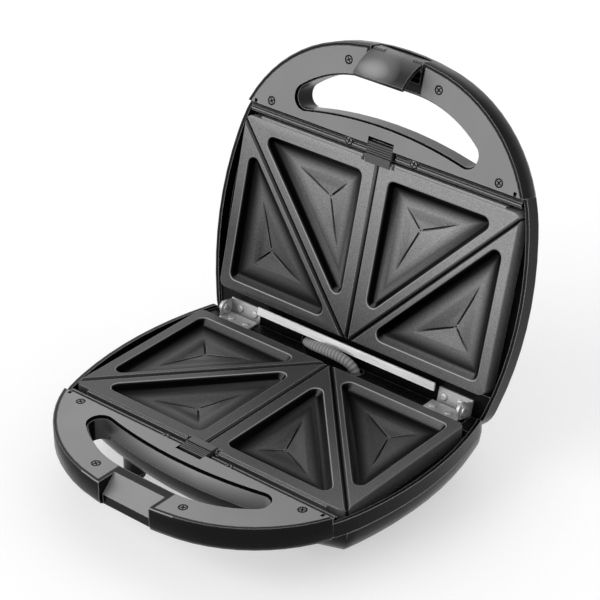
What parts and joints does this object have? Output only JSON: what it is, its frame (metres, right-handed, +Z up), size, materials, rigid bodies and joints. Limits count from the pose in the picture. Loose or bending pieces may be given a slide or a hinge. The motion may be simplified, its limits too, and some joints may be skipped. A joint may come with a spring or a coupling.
{
  "type": "sandwich toaster",
  "caption": "Countertop sandwich toaster with pocketed plates, grip-loop handles, a hinged lid that stands open, a swinging latch and sliding plate clips.",
  "frame": {"origin": "middle of the open toaster's footprint, on the table under its feet", "axes": "+Z up, +X to the right seen from the handles, -Y towards the handles"},
  "size_m": [0.2428, 0.2715, 0.2382],
  "materials": {
    "shell_black": "smooth gloss",
    "panel_grey": "satin lacquer",
    "plate_dark": "dark non-stick coating",
    "screw_steel": "darkened",
    "heater_steel": "heat-toned",
    "sheet_bright": "bright rolled sheet",
    "hinge_steel": "zinc plated",
    "foot_rubber": "matte",
    "electric_pale": "matte",
    "sleeve_braid": "woven glass fibre",
    "lamp_red": "clear tinted"
  },
  "bodies": {
    "base": {"base_shell": "shell_black", "base_pan": "shell_black", "base_panel": "panel_grey", "base_panel_screws": "screw_steel", "base_rail_screws": "screw_steel", "base_plate": "plate_dark", "base_heater": "heater_steel", "base_reflector": "sheet_bright", "base_brackets": "hinge_steel", "base_rivets": "hinge_steel", "hinge_pins": "hinge_steel", "feet": "foot_rubber", "pan_screws": "screw_steel", "cord_gland": "foot_rubber", "thermostat": "electric_pale", "thermal_fuse": "electric_pale", "terminal_block": "electric_pale", "base_wires": "sleeve_braid", "sleeve": "sleeve_braid"},
    "lid": {"lid_shell": "shell_black", "lid_dome": "shell_black", "dome_screws": "screw_steel", "lid_panel": "panel_grey", "lid_panel_screws": "screw_steel", "lid_rail_screws": "screw_steel", "lid_plate": "plate_dark", "lid_heater": "heater_steel", "lid_reflector": "sheet_bright", "lid_brackets": "hinge_steel", "lid_rivets": "hinge_steel", "lid_strip": "sheet_bright", "lamps": "lamp_red", "lamp_board": "electric_pale", "latch_pin": "screw_steel", "latch_spring": "screw_steel"},
    "base_clip": {"base_clip": "shell_black"},
    "lid_clip": {"lid_clip": "shell_black"},
    "latch": {"latch": "shell_black"}
  },
  "joints": [
    {"name": "lid_hinge", "type": "hinge", "parent": "base", "child": "lid", "pos_m": [0, 0.0647, 0.04375], "axis": [1, 0, 0], "range_deg": [0, 104.6], "deforming": ["sleeve"]},
    {"name": "latch_hinge", "type": "hinge", "parent": "lid", "child": "latch", "pos_m": [0, 0.11962, 0.23281], "axis": [-1, 0, 0], "range_deg": [0, 50]},
    {"name": "base_clip_slide", "type": "slide", "parent": "base", "child": "base_clip", "axis": [0, -1, 0], "range_m": [0, 0.0027], "stiffness_N_per_m": 300, "springref_m": -0.002},
    {"name": "lid_clip_slide", "type": "slide", "parent": "lid", "child": "lid_clip", "axis": [0, 0.2527, 0.9675], "range_m": [0, 0.0027], "stiffness_N_per_m": 300, "springref_m": -0.002}
  ],
  "couplings": [
    {"joint": "latch_hinge", "follows": "lid_hinge", "ratio": 0.45}
  ]
}
